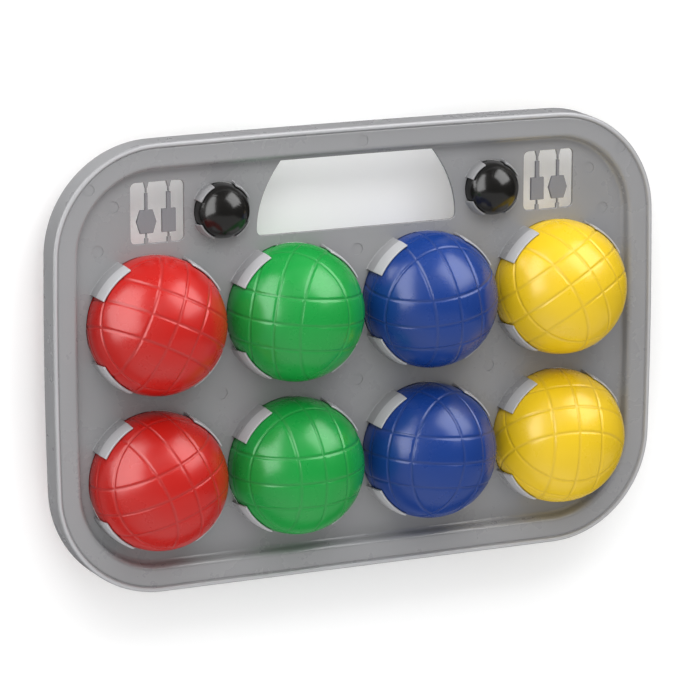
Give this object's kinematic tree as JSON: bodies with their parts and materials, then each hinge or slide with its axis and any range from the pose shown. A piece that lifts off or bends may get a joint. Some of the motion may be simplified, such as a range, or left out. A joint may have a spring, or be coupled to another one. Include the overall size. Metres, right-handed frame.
{
  "type": "bocce ball set",
  "caption": "Carry tray of moulded plastic with a hand opening, which holds filled bocce balls and small jacks in rings of clips.",
  "frame": {"origin": "below the middle of the tray, on the surface that the backs of the balls rest on", "axes": "+X to the right across the tray, +Y towards the handle, +Z out of the front of the tray, up as it lies on its back"},
  "size_m": [0.357, 0.246, 0.075],
  "materials": {
    "tray_grey": "satin moulded, silver grey",
    "peg_grey": "satin moulded, silver grey",
    "ball_red": "glossy blow-moulded",
    "ball_green": "glossy blow-moulded",
    "ball_blue": "glossy blow-moulded",
    "ball_yellow": "glossy blow-moulded",
    "filling": "water",
    "jack_black": "glossy"
  },
  "bodies": {
    "tray": {"tray": "tray_grey", "hex_headed_peg_left": "peg_grey", "flat_headed_peg_left": "peg_grey", "hex_headed_peg_right": "peg_grey", "flat_headed_peg_right": "peg_grey"},
    "red_ball_upper": {"red_ball_upper_shell": "ball_red", "red_ball_upper_filling": "filling", "red_ball_upper_plug": "ball_red"},
    "red_ball_lower": {"red_ball_lower_shell": "ball_red", "red_ball_lower_filling": "filling", "red_ball_lower_plug": "ball_red"},
    "green_ball_upper": {"green_ball_upper_shell": "ball_green", "green_ball_upper_filling": "filling", "green_ball_upper_plug": "ball_green"},
    "green_ball_lower": {"green_ball_lower_shell": "ball_green", "green_ball_lower_filling": "filling", "green_ball_lower_plug": "ball_green"},
    "blue_ball_upper": {"blue_ball_upper_shell": "ball_blue", "blue_ball_upper_filling": "filling", "blue_ball_upper_plug": "ball_blue"},
    "blue_ball_lower": {"blue_ball_lower_shell": "ball_blue", "blue_ball_lower_filling": "filling", "blue_ball_lower_plug": "ball_blue"},
    "yellow_ball_upper": {"yellow_ball_upper_shell": "ball_yellow", "yellow_ball_upper_filling": "filling", "yellow_ball_upper_plug": "ball_yellow"},
    "yellow_ball_lower": {"yellow_ball_lower_shell": "ball_yellow", "yellow_ball_lower_filling": "filling", "yellow_ball_lower_plug": "ball_yellow"},
    "jack_left": {"jack_left": "jack_black"},
    "jack_right": {"jack_right": "jack_black"}
  },
  "joints": [
    {"name": "red_ball_upper_lift", "type": "slide", "parent": "tray", "child": "red_ball_upper", "axis": [0, 0, 1], "range_m": [0, 0.055]},
    {"name": "red_ball_lower_lift", "type": "slide", "parent": "tray", "child": "red_ball_lower", "axis": [0, 0, 1], "range_m": [0, 0.055]},
    {"name": "green_ball_upper_lift", "type": "slide", "parent": "tray", "child": "green_ball_upper", "axis": [0, 0, 1], "range_m": [0, 0.055]},
    {"name": "green_ball_lower_lift", "type": "slide", "parent": "tray", "child": "green_ball_lower", "axis": [0, 0, 1], "range_m": [0, 0.055]},
    {"name": "blue_ball_upper_lift", "type": "slide", "parent": "tray", "child": "blue_ball_upper", "axis": [0, 0, 1], "range_m": [0, 0.055]},
    {"name": "blue_ball_lower_lift", "type": "slide", "parent": "tray", "child": "blue_ball_lower", "axis": [0, 0, 1], "range_m": [0, 0.055]},
    {"name": "yellow_ball_upper_lift", "type": "slide", "parent": "tray", "child": "yellow_ball_upper", "axis": [0, 0, 1], "range_m": [0, 0.055]},
    {"name": "yellow_ball_lower_lift", "type": "slide", "parent": "tray", "child": "yellow_ball_lower", "axis": [0, 0, 1], "range_m": [0, 0.055]},
    {"name": "jack_left_lift", "type": "slide", "parent": "tray", "child": "jack_left", "axis": [0, 0, 1], "range_m": [0, 0.03]},
    {"name": "jack_right_lift", "type": "slide", "parent": "tray", "child": "jack_right", "axis": [0, 0, 1], "range_m": [0, 0.03]}
  ]
}
